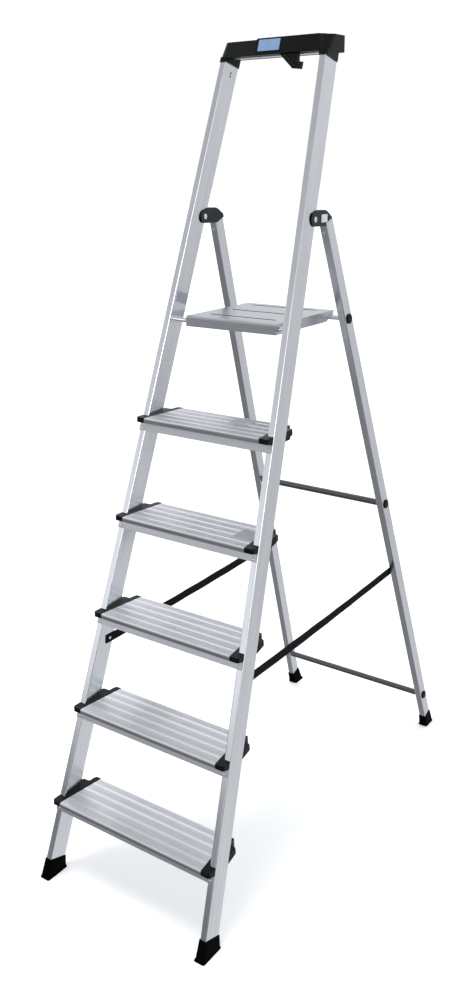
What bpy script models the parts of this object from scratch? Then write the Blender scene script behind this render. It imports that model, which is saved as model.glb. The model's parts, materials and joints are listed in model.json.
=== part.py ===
"""Folding aluminium step ladder with five treads, a platform and a high bow. Metres, +Z up, +X to the
climber's right, -Y the climbing side. The floor is z = 0 and the middle of the footprint is the origin."""

from math import cos, pi, radians, sin, tan

import bmesh
import bpy
from mathutils import Vector

GAP = 0.0003  # between pieces that touch
SIDES = (("left", -1), ("right", 1))

# Steps
TREADS = 5
STEP_PITCH = 0.235
FIRST_STEP = 0.2138
TREAD_NOSE = 0.027  # ahead of the stiles' front faces, level
TREAD_BACK = 0.110  # behind the stiles' front faces, level
TREAD_WALL = 0.0025
NOSE_DROP = 0.0125
NOSE_ROUND = 0.004
NOSE_LIP = 0.001  # its lower edge higher behind
TAIL_ROUND = 0.002
SKIRT_TOP = 0.017
SKIRT_BOTTOM = 0.0355
REAR_SKIRT = 0.033
LANDS = 4  # smooth raised bands along the tread
LAND_FIRST = 0.0  # middle of the first, behind the stiles' front faces
LAND_PITCH = 0.028
LAND_WIDTH = 0.009
RIB_PITCH = 0.0032
RIB_WIDTH = 0.0018
RIB_HEIGHT = 0.0006
RIB_SLOPE = 0.0003

# Tread end caps, as lengths inboard of the stile's outer face
CAP_NOSE = 0.024
CAP_TAIL = 0.041
CAP_TIP_WIDTH = 0.017
CAP_ARM = 0.028  # behind the stile's rear face
CAP_ARM_FOOT = 0.2  # share of the arm left at its lower edge
CAP_ARM_DROP = (0.0135, 0.021)  # its underside below the tread's top, at its end and at the stile
CAP_ROUND = 0.004
CAP_STEP = 0.0035
CAP_SLOPE = 0.010

# Front frame
FRONT_ANGLE = radians(19.0)
BASE_WIDTH = 0.5186  # over the stiles, at the floor
STILE_TAPER = 0.0546  # half-width lost per metre of stile
STILE_DEPTH = 0.054
STILE_WIDTH = 0.017
STILE_WALL = 0.0016
STILE_ROUND = 0.0025
STILE_FOOT = 0.029  # stile end above the floor, along the stile

# Platform
PLATFORM_FRONT = 0.0205  # front edge behind the stiles' front faces
PLATFORM_THICK = 0.0255
PLATFORM_TAIL = 0.0165  # behind the rear rod's axis
PLATFORM_CLEAR = 0.0121  # between its side and a hinge pin's head
DECK_THICK = 0.004
SIDE_WALL = 0.003
SIDE_INSET = 0.0012  # side plates inboard of the deck's edge
SIDE_TAIL_BEVEL = 0.002
SIDE_TOE = (0.003, 0.004)  # slope at the foot of the tail: length, height below the rear rod's axis
SADDLE_LEAD = (0.007, 0.001)  # lead-in ahead of the saddle: length, height above the plate's lower edge
SADDLE_HEEL = 0.012  # plate's lower edge starts this far ahead of the saddle
FASCIA_WALL = 0.003
FASCIA_ROUND = 0.005
FASCIA_DEPTH = 0.024
FRONT_ROD_BACK = 0.012
FRONT_ROD_DROP = 0.0135
FRONT_ROD = 0.006  # radius
REAR_ROD = 0.006
REAR_ROD_DROP = 0.0157
ROD_CLEAR = 0.0006
SLOTS = 3
SLOT_WIDTH = 0.0080
SLOT_END = 0.034  # from a slot's end to the platform's side
SLOT_FIRST = 0.0535
SLOT_PITCH = 0.0935

# Hinge
PIVOT_RISE = 0.2275  # above the platform's top
PIVOT_BACK = 0.046  # behind the stiles' front faces
PIN = 0.004
PIN_HEAD = 0.0065
HEAD_THICK = 0.0014
LOBE = 0.0165
FORK_WALL = 0.0022
FORK_CLEAR = 0.0004
CHEEK_REACH = 1.5  # lobe radii over which the slot clears the tapering stile
SWING_CLEAR = 0.0010

# Rear frame
REAR_ANGLE = radians(19.3)
LEG_SET = 0.0429  # leg's front face behind the hinge axis
LEG_DEPTH = 0.0327
LEG_WIDTH = 0.0198
LEG_OUTSET = 0.001
LEG_WALL = 0.0015
LEG_ROUND = 0.002
LEG_TOP = 0.026  # below the hinge axis, along the leg
LEG_FOOT = 0.011  # leg end above the floor, along the leg
CAP_SKIN = 0.0024
CAP_BACK_SKIN = 0.0010
CAP_RISE = 0.0195  # cap's top above the hinge axis
CAP_FLAT = 0.050  # its flat top's end behind the axis
CAP_SHOULDER = (0.010, 0.0035)  # slope behind the flat top: length, drop
CAP_BEVEL = 0.006
CAP_BEVEL_WIDTH = 0.003
CAP_END = 0.032  # cap's lower edge below the hinge axis, along the leg
LEG_RIVET = 0.051  # below the hinge axis, along the leg
LEG_RIVET_HEAD = 0.0036  # radius
MID_BAR_TREAD = 3
MID_BAR_DROP = 0.0915  # crossbar below that tread's top when folded, along the stile
LOW_BAR_TREAD = 0
LOW_BAR_DROP = 0.100
BAR = 0.0087  # radius
BAR_WALL = 0.0015
PLUG = 0.0125
PLUG_THICK = 0.0045
RIVET = 0.0042
RIVET_THICK = 0.0016

# Feet
FRONT_SOLE = (0.005, 0.0095, 0.003, 0.0105)  # past the stile: outboard, inboard, ahead, behind
REAR_SOLE = (0.002, 0.009, 0.006, 0.011)
FRONT_COLLAR = 0.0525  # collar's edge above the floor, along the stile
REAR_COLLAR = 0.0405
FOOT_SKIN = 0.0025
SOLE_EDGE = 0.008

# Bow
BOW_RISE = 0.580  # tray's collars above the platform's top
COLLAR_SKIN = 0.0032
COLLAR_SLOPE = 0.005  # collar's lower edge higher at the back
COLLAR_ROUND = 0.008
COLLAR_IN_TRAY = 0.003
TRAY_SKIN = 0.003
TRAY_CORNER = 0.016
WING_LEAN = 0.011  # tray's front further back at its top than along the stiles
TRAY_BASE = 0.0078  # tray's underside above the collars' front edge
TRAY_HEIGHT = 0.036
TRAY_OVER = 0.0075  # tray's back behind the stiles
TRAY_RECESS = 0.014
TRAY_RIM = 0.005
STILE_IN_TRAY = 0.0098
TRAY_DRAFT = 0.001  # recess narrower at its floor, all round
PANEL = (-0.044, 0.121)
PANEL_STEP = 0.004
PANEL_LIFT = 0.001
PANEL_SLOPE = 0.012  # length of its right end, which runs back into the tray
PANEL_SINK = 0.0005
LABEL = (-0.037, 0.022)
LABEL_HEIGHT = 0.025
LABEL_RISE = 0.0075  # above the panel's lower edge
LABEL_THICK = 0.0008
TOP_BAR_THICK = 0.002
TOP_BAR_FRONT = 0.018
TOP_BAR_BACK = 0.038
HOOK_FRONT = 0.002
HOOK_THICK = 0.015
HOOK = ((0.021, 0), (0.055, -0.032), (0.073, -0.034), (0.0765, -0.0185), (0.0735, -0.018),
        (0.0712, -0.0250), (0.0660, -0.0245), (0.0665, 0))

# Straps
STRAP_TREAD = 2
STRAP_DROP = 0.084  # middle of the strap below that tread's top
STRAP_WIDTH = 0.025
STRAP_THICK = 0.0018
STRAP_FRONT = 0.025  # end behind the stile's front face
STRAP_BACK = 0.007  # end short of the leg's rear face
STRAP_REAR_LIFT = 0.012

SIN_F, COS_F, TAN_F = sin(FRONT_ANGLE), cos(FRONT_ANGLE), tan(FRONT_ANGLE)
SIN_R, COS_R, TAN_R = sin(REAR_ANGLE), cos(REAR_ANGLE), tan(REAR_ANGLE)
PLATFORM_Z = FIRST_STEP + TREADS * STEP_PITCH
PIVOT_Z = PLATFORM_Z + PIVOT_RISE
LEG_MID = LEG_SET + LEG_DEPTH / 2
SPREAD = PIVOT_Z * (TAN_F + TAN_R) + PIVOT_BACK / COS_F + LEG_SET / COS_R
FRONT_Y = FRONT_SOLE[2] - (FRONT_SOLE[2] + SPREAD + LEG_DEPTH / COS_R + REAR_SOLE[3]) / 2
PIVOT_Y = FRONT_Y + PIVOT_Z * TAN_F + PIVOT_BACK / COS_F
PIVOT_S = (PIVOT_Z + PIVOT_BACK * SIN_F) / COS_F
PLATFORM_Y = FRONT_Y + PLATFORM_Z * TAN_F + PLATFORM_FRONT / COS_F
BOW_S = (PLATFORM_Z + BOW_RISE) / COS_F


def stile_x(s):
    """Half-width to the stiles' outer faces at s along them."""
    return BASE_WIDTH / 2 - STILE_TAPER * s


def leg_x(r):
    """Half-width to the rear legs' outer faces, r below the hinge axis."""
    middle = stile_x(PIVOT_S) - STILE_WIDTH / 2 + LEG_OUTSET + STILE_TAPER * r
    return middle + LEG_WIDTH / 2


def front_point(x, s, t):
    """World point s up the stiles from the floor and t behind their front faces."""
    return Vector((x, FRONT_Y + s * SIN_F + t * COS_F, s * COS_F - t * SIN_F))


def rear_point(x, r, q):
    """World point r below the hinge axis along the rear legs, and q behind it."""
    return Vector((x, PIVOT_Y + r * SIN_R + q * COS_R, PIVOT_Z - r * COS_R + q * SIN_R))


def front_s(z, t=0.0):
    """Distance up the stiles of the height z, t behind their front faces."""
    return (z + t * SIN_F) / COS_F


def leg_r(z, q):
    """Distance down the rear legs of the height z, q behind the hinge axis."""
    return (PIVOT_Z + q * SIN_R - z) / COS_R


def tread_z(number):
    return FIRST_STEP + number * STEP_PITCH


def clear_scene():
    for obj in list(bpy.data.objects):
        bpy.data.objects.remove(obj, do_unlink=True)


def add_axis(name, point):
    """An empty on a joint's axis, which the moving pieces are parented to."""
    axis = bpy.data.objects.new(name, None)
    axis.location = point
    bpy.context.scene.collection.objects.link(axis)
    return axis


def finish(name, colour, metallic, roughness):
    """One object's own Principled material."""
    material = bpy.data.materials.new(name)
    material.use_nodes = True
    shader = material.node_tree.nodes["Principled BSDF"]
    shader.inputs["Base Color"].default_value = (*colour, 1)
    shader.inputs["Metallic"].default_value = metallic
    shader.inputs["Roughness"].default_value = roughness
    return material


def aluminium(name):
    return finish(name, (0.62, 0.64, 0.66), 1.0, 0.38)


def bright_steel(name):
    return finish(name, (0.78, 0.79, 0.80), 1.0, 0.18)


def black_plastic(name):
    return finish(name, (0.018, 0.018, 0.02), 0.0, 0.5)


def pale_plate(name):
    return finish(name, (0.75, 0.80, 0.85), 0.0, 0.4)


def webbing(name):
    return finish(name, (0.020, 0.020, 0.022), 0.0, 0.9)


def add_piece(name, points, faces, make_finish, axis=None, round_edges=False):
    """One closed object from world points. A moving piece has its origin on its joint's axis."""
    origin = axis.location if axis else Vector()
    mesh = bpy.data.meshes.new(name)
    mesh.from_pydata([Vector(p) - origin for p in points], [], faces)
    shell = bmesh.new()
    shell.from_mesh(mesh)
    bmesh.ops.recalc_face_normals(shell, faces=shell.faces)
    shell.to_mesh(mesh)
    shell.free()
    if round_edges:
        mesh.shade_smooth()
        mesh.set_sharp_from_angle(angle=radians(35))
    if make_finish:
        mesh.materials.append(make_finish(name))
    piece = bpy.data.objects.new(name, mesh)
    bpy.context.scene.collection.objects.link(piece)
    piece.parent = axis
    return piece


def cut(piece, cutter):
    """Subtracts a helper from a piece and hides the helper."""
    modifier = piece.modifiers.new(cutter.name, "BOOLEAN")
    modifier.object = cutter
    modifier.operation = "DIFFERENCE"
    cutter.hide_render = True
    cutter.display_type = "WIRE"


def join(piece, helper):
    cut(piece, helper)
    piece.modifiers[-1].operation = "UNION"


def loft(rings):
    """Faces that join equal rings one after another, with a cap on the first and the last."""
    size = len(rings[0])
    points = [point for ring in rings for point in ring]
    faces = [tuple(range(size)), tuple(range(len(points) - size, len(points)))]
    for k in range(len(rings) - 1):
        for i in range(size):
            j = (i + 1) % size
            faces.append((k * size + i, k * size + j, (k + 1) * size + j, (k + 1) * size + i))
    return points, faces


def hoop(outer_low, inner_low, inner_high, outer_high):
    """Faces of an open tube, from its four rings."""
    points, faces = loft([outer_low, inner_low, inner_high, outer_high])
    size = len(outer_low)
    ring = [(i, (i + 1) % size, 3 * size + (i + 1) % size, 3 * size + i) for i in range(size)]
    return points, faces[2:] + ring


def layers(outlines, stations, place):
    """Faces of a solid made of flat outlines that each run between two stations.

    outlines holds (point numbers, first station, last station), and place gives a point's position
    at a station. Faces that two neighbours share are left out, so the result is one shell.
    """
    count = 1 + max(i for outline, _, _ in outlines for i in outline)
    points = [place(i, k) for k in range(stations) for i in range(count)]
    shell = {}

    def add(face):
        key = frozenset(face)
        if key in shell:
            del shell[key]
        else:
            shell[key] = face

    for outline, first, last in outlines:
        for k in range(first, last):
            for i, j in zip(outline, outline[1:] + outline[:1]):
                add((k * count + i, k * count + j, (k + 1) * count + j, (k + 1) * count + i))
        add(tuple(first * count + i for i in outline))
        add(tuple(last * count + i for i in outline))
    used = sorted({i for face in shell for i in face})
    number = {old: new for new, old in enumerate(used)}
    return [points[i] for i in used], [tuple(number[i] for i in face) for face in shell.values()]


def rounded_box(a0, a1, b0, b1, radius, steps=3):
    """Outline of a rectangle with rounded corners, counterclockwise."""
    corners = ((a1 - radius, b1 - radius, 0), (a0 + radius, b1 - radius, 1),
               (a0 + radius, b0 + radius, 2), (a1 - radius, b0 + radius, 3))
    return [(a + radius * cos((turn + k / steps) * pi / 2), b + radius * sin((turn + k / steps) * pi / 2))
            for a, b, turn in corners for k in range(steps + 1)]


def circle(a, b, radius, steps=24):
    return [(a + radius * cos(2 * pi * k / steps), b + radius * sin(2 * pi * k / steps))
            for k in range(steps)]


def add_stile(name, side):
    """Rectangular tube with rounded corners, bored for the hinge pin."""
    def ring(s, skin, radius):
        outline = rounded_box(skin, STILE_WIDTH - skin, skin, STILE_DEPTH - skin, radius)
        return [front_point(side * (stile_x(s) - u), s, t) for u, t in outline]

    low, high = STILE_FOOT, BOW_S + STILE_IN_TRAY
    inner = STILE_ROUND - STILE_WALL / 2
    points, faces = hoop(ring(low, 0, STILE_ROUND), ring(low, STILE_WALL, inner),
                         ring(high, STILE_WALL, inner), ring(high, 0, STILE_ROUND))
    stile = add_piece(name, points, faces, aluminium, round_edges=True)
    cut(stile, pin_cutter(name, side))


def pin_cutter(name, side):
    x = stile_x(PIVOT_S) - STILE_WIDTH / 2
    rings = [[Vector((side * (x + dx), PIVOT_Y + y, PIVOT_Z + z)) for y, z in circle(0, 0, PIN + GAP)]
             for dx in (-2 * STILE_WIDTH, 2 * STILE_WIDTH)]
    return add_piece(name + "_bore", *loft(rings), None)


def add_pin(name, side):
    """Hinge pin through the stile and both cheeks of the hinge cap, with a head at each end."""
    x = stile_x(PIVOT_S) - STILE_WIDTH / 2
    cheek = fork_half() + FORK_WALL + GAP
    steps = [(-cheek - HEAD_THICK, PIN_HEAD * 0.7), (-cheek - HEAD_THICK / 2, PIN_HEAD), (-cheek, PIN_HEAD),
             (-cheek, PIN), (cheek, PIN), (cheek, PIN_HEAD), (cheek + HEAD_THICK / 2, PIN_HEAD),
             (cheek + HEAD_THICK, PIN_HEAD * 0.7)]
    rings = [[Vector((side * (x + dx), PIVOT_Y + y, PIVOT_Z + z)) for y, z in circle(0, 0, radius)]
             for dx, radius in steps]
    add_piece(name, *loft(rings), bright_steel, round_edges=True)


def fork_half():
    """Half of the hinge cap's slot, which clears the tapering stile over the cheeks' height."""
    return STILE_WIDTH / 2 + STILE_TAPER * LOBE * CHEEK_REACH + FORK_CLEAR


def add_foot(name, axis, outline, sole, collar, edge):
    """Shoe with a socket: a sole on the floor, flaring walls and a collar round the tube."""
    solid = [sole(0.0), sole(edge), collar(FOOT_SKIN), outline(GAP, True), outline(GAP, False)]
    add_piece(name, *loft(solid), black_plastic, axis=axis)


def add_front_foot(name, side):
    def ring(s, skin):
        corners = rounded_box(-skin, STILE_WIDTH + skin, -skin, STILE_DEPTH + skin, STILE_ROUND + skin)
        return [front_point(side * (stile_x(s) - u), s, t) for u, t in corners]

    def socket(skin, top):
        return ring(FRONT_COLLAR if top else STILE_FOOT - GAP, skin)

    def sole(z):
        out, inboard, ahead, behind = FRONT_SOLE
        grow = 1 - z / (3 * SOLE_EDGE)
        y0 = FRONT_Y + z * TAN_F
        corners = rounded_box(-out * grow, STILE_WIDTH + inboard * grow, -ahead * grow,
                              STILE_DEPTH / COS_F + behind * grow, STILE_ROUND + FOOT_SKIN)
        return [Vector((side * (stile_x(0) - u), y0 + v, z)) for u, v in corners]

    add_foot(name, None, socket, sole, lambda skin: ring(FRONT_COLLAR, skin), SOLE_EDGE)


def add_rear_foot(name, side, fold_axis):
    floor = leg_r(0, LEG_SET)

    def ring(r, skin):
        corners = rounded_box(-skin, LEG_WIDTH + skin, -skin, LEG_DEPTH + skin, LEG_ROUND + skin)
        return [rear_point(side * (leg_x(r) - u), r, LEG_SET + v) for u, v in corners]

    def socket(skin, top):
        return ring(floor - REAR_COLLAR if top else floor - LEG_FOOT + GAP, skin)

    def sole(z):
        out, inboard, ahead, behind = REAR_SOLE
        grow = 1 - z / (3 * SOLE_EDGE)
        y0 = FRONT_Y + SPREAD - z * TAN_R
        corners = rounded_box(-out * grow, LEG_WIDTH + inboard * grow, -ahead * grow,
                              LEG_DEPTH / COS_R + behind * grow, LEG_ROUND + FOOT_SKIN)
        return [Vector((side * (leg_x(floor) - u), y0 + v, z)) for u, v in corners]

    add_foot(name, fold_axis, socket, sole, lambda skin: ring(floor - REAR_COLLAR, skin), SOLE_EDGE)


def tread_end(number, v):
    """Half-width to the face where a tread meets its end caps, v behind the stiles' front faces."""
    share = (v + TREAD_NOSE) / (TREAD_BACK + TREAD_NOSE)
    return stile_x(front_s(tread_z(number))) - CAP_NOSE - (CAP_TAIL - CAP_NOSE) * share


def ribbed_top(first, last):
    """Outline of a tread's top from first to last: smooth lands with fine ribs between them."""
    middles = [LAND_FIRST + k * LAND_PITCH for k in range(LANDS)]
    raised = [(v - LAND_WIDTH / 2, v + LAND_WIDTH / 2) for v in middles]
    fields = list(zip([first] + [b for _, b in raised], [a for a, _ in raised] + [last]))
    for low, high in fields:
        count = int((high - low - RIB_PITCH + RIB_WIDTH) / RIB_PITCH)
        start = (low + high - (count - 1) * RIB_PITCH - RIB_WIDTH) / 2
        ribs = [start + k * RIB_PITCH for k in range(count)]
        raised += [(v, v + RIB_WIDTH) for v in ribs]
    outline = []
    for a, b in sorted(raised):
        outline += [(a, -RIB_HEIGHT), (a + RIB_SLOPE, 0), (b - RIB_SLOPE, 0), (b, -RIB_HEIGHT)]
    return outline


def add_tread(number):
    """Ribbed aluminium step with a rounded nose, a front skirt across the stiles and a rear skirt."""
    z = tread_z(number)
    y = FRONT_Y + z * TAN_F

    def skirt(w, ahead):
        return (-w * TAN_F - (GAP + ahead) / COS_F, -w)

    skirt_points = [skirt(SKIRT_TOP, TREAD_WALL), skirt(SKIRT_TOP, 0), skirt(SKIRT_BOTTOM, 0),
                    skirt(SKIRT_BOTTOM, TREAD_WALL)]
    under = -RIB_HEIGHT - TREAD_WALL
    nose = [(-TREAD_NOSE, -NOSE_DROP), (-TREAD_NOSE, -NOSE_ROUND),
            (0.3 * NOSE_ROUND - TREAD_NOSE, -0.45 * NOSE_ROUND), (0.9 * NOSE_ROUND - TREAD_NOSE, -RIB_HEIGHT)]
    top = ribbed_top(-TREAD_NOSE + NOSE_ROUND, TREAD_BACK - 2 * TAIL_ROUND)
    inside = TREAD_WALL - TREAD_NOSE
    tail = [(TREAD_BACK - TAIL_ROUND, -RIB_HEIGHT), (TREAD_BACK, -RIB_HEIGHT - TAIL_ROUND),
            (TREAD_BACK, -REAR_SKIRT), (TREAD_BACK - TREAD_WALL, -REAR_SKIRT),
            (TREAD_BACK - TREAD_WALL, under), (inside + NOSE_ROUND / 2, under),
            (inside, under - NOSE_ROUND / 2), (inside, NOSE_LIP - NOSE_DROP)]
    section = skirt_points + nose + top + tail
    body = [0] + list(range(4, len(section))) + [1]

    def place(i, station):
        v, w = section[i]
        side = -1 if station < 2 else 1
        if station in (0, 3):
            half = stile_x(front_s(z + w)) - GAP
        else:
            half = tread_end(number, v) - GAP
        return Vector((side * half, y + v, z + w))

    outlines = [(body, 1, 2), ([0, 1, 2, 3], 0, 3)]
    add_piece(f"tread_{number + 1}", *layers(outlines, 4, place), aluminium)


def add_tread_cap(name, number, side):
    """Black end cap that grips the stile: an arm ahead of it, a strip beside it and an arm behind."""
    z = tread_z(number)
    y = FRONT_Y + z * TAN_F
    levels = (0.0, NOSE_DROP, SKIRT_TOP - GAP, REAR_SKIRT)
    rear = STILE_DEPTH / COS_F
    arm = rear + CAP_ARM
    tip = CAP_TAIL - CAP_TIP_WIDTH
    inner = STILE_WIDTH + GAP
    # Each point: inboard, behind, and what it follows: the stile, the nose or neither.
    plan = [(0, 0, "stile"), (0, CAP_ROUND - TREAD_NOSE, "nose"), (CAP_ROUND, -TREAD_NOSE, "nose"),
            (None, -TREAD_NOSE, "nose"), (None, 0, "meet"), (inner, 0, "stile"),
            (None, TREAD_BACK, "free"), (tip, TREAD_BACK, "free"),
            (tip - CAP_STEP, TREAD_BACK - CAP_SLOPE, "free"),
            (inner + CAP_STEP, arm + CAP_ROUND, "arm"), (inner, arm, "arm"), (CAP_ROUND, arm, "arm"),
            (0, arm - CAP_ROUND, "arm"), (0, rear, "rear"), (inner, rear, "rear")]

    def place(i, level):
        u, v, follows = plan[i]
        w = levels[level]
        if level == 2 and follows in ("arm", "rear"):
            w = CAP_ARM_DROP[follows == "rear"]
        if follows == "stile":
            v = -GAP / COS_F
        elif follows == "rear":
            v = rear + GAP / COS_F
        elif follows == "nose" and level == 2:
            v = -(GAP + TREAD_WALL) / COS_F
        elif follows == "arm" and level == 3:
            v = rear + (v - rear) * CAP_ARM_FOOT - w * TAN_F
        if follows in ("stile", "rear", "meet") or (follows == "nose" and level == 2):
            v -= w * TAN_F
        if u is None:
            x = tread_end(number, v)
        else:
            x = stile_x(front_s(z - w, max(v + w * TAN_F, 0) * COS_F)) - u
        return Vector((side * x, y + v, z - w))

    front_arm = ([0, 1, 2, 3, 4, 5], 0, 2)
    strip = ([5, 4, 6, 7, 8, 9, 10, 14], 0, 3)
    rear_arm = ([14, 10, 11, 12, 13], 0, 2)
    add_piece(name, *layers([front_arm, strip, rear_arm], 4, place), black_plastic)


def add_leg(name, side, fold_axis):
    """Rectangular tube with rounded corners."""
    def ring(r, skin, radius):
        outline = rounded_box(skin, LEG_WIDTH - skin, skin, LEG_DEPTH - skin, radius)
        return [rear_point(side * (leg_x(r) - u), r, LEG_SET + v) for u, v in outline]

    low, high = leg_r(0, LEG_SET) - LEG_FOOT, LEG_TOP
    inner = LEG_ROUND - LEG_WALL / 2
    points, faces = hoop(ring(low, 0, LEG_ROUND), ring(low, LEG_WALL, inner),
                         ring(high, LEG_WALL, inner), ring(high, 0, LEG_ROUND))
    add_piece(name, points, faces, aluminium, axis=fold_axis, round_edges=True)


def add_hinge_cap(name, side, fold_axis):
    """Cap on a rear leg whose two cheeks straddle the stile and turn on the hinge pin."""
    x = stile_x(PIVOT_S) - STILE_WIDTH / 2
    half = fork_half() + FORK_WALL
    front, back = LEG_SET - CAP_SKIN, LEG_SET + LEG_DEPTH + CAP_BACK_SKIN

    def level(r, q):
        return (r * SIN_R + q * COS_R, q * SIN_R - r * COS_R)

    def outline(bevel):
        shape = [(LOBE * cos(radians(a)), LOBE * sin(radians(a))) for a in range(250, 80, -14)]
        shape += [(STILE_DEPTH - PIVOT_BACK, CAP_RISE), (CAP_FLAT - bevel, CAP_RISE),
                  (CAP_FLAT + CAP_SHOULDER[0] - bevel, CAP_RISE - CAP_SHOULDER[1])]
        r, q = level(LEG_TOP, back)
        shape += [(r - bevel, q + CAP_SKIN)]
        r, q = level(CAP_END, back)
        return shape + [(r - bevel, q), level(CAP_END, front)]

    def slab(y_z, low, high):
        return loft([[Vector((side * (x + dx), PIVOT_Y + y, PIVOT_Z + z)) for y, z in y_z]
                     for dx in (low, high)])

    rings = [[Vector((side * (x + dx), PIVOT_Y + y, PIVOT_Z + z)) for y, z in outline(bevel)]
             for dx, bevel in ((-half, CAP_BEVEL), (CAP_BEVEL_WIDTH - half, 0), (half - CAP_BEVEL_WIDTH, 0),
                               (half, CAP_BEVEL))]
    cap = add_piece(name, *loft(rings), black_plastic, axis=fold_axis)
    # The slot clears the stile's rear face at rest and folded.
    reach = STILE_DEPTH - PIVOT_BACK + SWING_CLEAR
    fold = FRONT_ANGLE + REAR_ANGLE
    bend = reach * tan(fold / 2)
    far = 2 * LEG_SET
    turned = (reach + far * sin(fold)) / cos(fold)
    slot = [(far, -far), (far, reach), (bend, reach), (-far, turned), (-far, -far)]
    slot = [level(r, q) for r, q in slot]
    cut(cap, add_piece(name + "_slot", *slab(slot, -fork_half(), fork_half()), None))
    tube = rounded_box(-GAP, LEG_WIDTH + GAP, -GAP, LEG_DEPTH + GAP, LEG_ROUND)
    rings = [[rear_point(side * (leg_x(r) - u), r, LEG_SET + v) for u, v in tube]
             for r in (LEG_TOP - GAP, 2 * CAP_END)]
    cut(cap, add_piece(name + "_socket", *loft(rings), None))
    cut(cap, pin_cutter(name, side))


def add_crosspiece(name, section, half_at, place, make_finish, axis, bore=None):
    """Tube or rod from one side member to the other. Its ends follow their tapering faces."""
    def ring(outline, side):
        return [place(side * (half_at(a) - GAP), a, b) for a, b in outline]

    if bore:
        points, faces = hoop(ring(section, -1), ring(bore, -1), ring(bore, 1), ring(section, 1))
    else:
        points, faces = loft([ring(section, -1), ring(section, 1)])
    add_piece(name, points, faces, make_finish, axis=axis, round_edges=True)


def bar_r(tread, drop):
    """Place of a crossbar down the legs, so that it folds below the given tread."""
    return PIVOT_S - (front_s(tread_z(tread)) - drop)


def rear_rod_r():
    return leg_r(PLATFORM_Z - REAR_ROD_DROP, LEG_MID)


def inner_leg_x(r):
    return leg_x(r) - LEG_WIDTH


def add_crossbar(name, r, fold_axis):
    add_crosspiece(name, circle(r, LEG_MID, BAR), inner_leg_x, rear_point, aluminium, fold_axis,
                   bore=circle(r, LEG_MID, BAR - BAR_WALL))


def add_plug(name, side, r, fold_axis):
    """Round black cap on a leg's outer face, over the end of a crosspiece."""
    steps = ((GAP, PLUG), (PLUG_THICK * 0.5, PLUG), (PLUG_THICK, PLUG * 0.72))
    rings = [[rear_point(side * (leg_x(a) + out), a, b) for a, b in circle(r, LEG_MID, radius)]
             for out, radius in steps]
    add_piece(name, *loft(rings), black_plastic, axis=fold_axis, round_edges=True)


def front_rod():
    """The front rod's axis, as a height and a place in Y."""
    return PLATFORM_Z - FRONT_ROD_DROP, PLATFORM_Y + FRONT_ROD_BACK


def add_front_rod(name):
    z, y = front_rod()
    t = (y - FRONT_Y - z * TAN_F) * COS_F
    section = circle(front_s(z, t), t, FRONT_ROD)
    add_crosspiece(name, section, lambda a: stile_x(a) - STILE_WIDTH, front_point, bright_steel, None)


def platform_half():
    """Half the platform's width, which passes between the hinge pins' heads when it folds up."""
    pin_end = fork_half() + FORK_WALL + GAP + HEAD_THICK
    return stile_x(PIVOT_S) - STILE_WIDTH / 2 - pin_end - PLATFORM_CLEAR


def rear_rod_point():
    return rear_point(0, rear_rod_r(), LEG_MID)


def add_deck(name, lift_axis):
    """Top plate of the platform, with long slots across it."""
    half = platform_half()
    slot_end = half - SLOT_END
    first = PLATFORM_Y + FASCIA_DEPTH + GAP
    last = rear_rod_point().y + PLATFORM_TAIL
    rows = [first]
    for k in range(SLOTS):
        middle = PLATFORM_Y + SLOT_FIRST + k * SLOT_PITCH
        rows += [middle - SLOT_WIDTH / 2, middle + SLOT_WIDTH / 2]
    rows.append(last)
    columns = (-half, -slot_end, slot_end, half)
    grid = [(x, y) for y in rows for x in columns]
    outlines = []
    for row in range(len(rows) - 1):
        for column in range(3):
            if row % 2 and column == 1:
                continue
            i = row * 4 + column
            outlines.append(([i, i + 1, i + 5, i + 4], 0, 1))

    def place(i, station):
        x, y = grid[i]
        return Vector((x, y, PLATFORM_Z - station * DECK_THICK))

    add_piece(name, *layers(outlines, 2, place), aluminium, axis=lift_axis)


def add_fascia(name, lift_axis):
    """Front profile of the platform, an angle over the front rod with a rounded upper lip."""
    wall, lip = FASCIA_WALL, FASCIA_ROUND
    section = [(0, -PLATFORM_THICK), (0, -lip), (0.3 * lip, -0.3 * lip), (lip, 0), (FASCIA_DEPTH, 0),
               (FASCIA_DEPTH, -wall), (lip, -wall), (wall, -lip), (wall, -PLATFORM_THICK)]
    half = platform_half()
    rings = [[Vector((side * half, PLATFORM_Y + y, PLATFORM_Z + z)) for y, z in section] for side in (-1, 1)]
    add_piece(name, *loft(rings), aluminium, axis=lift_axis)


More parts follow.
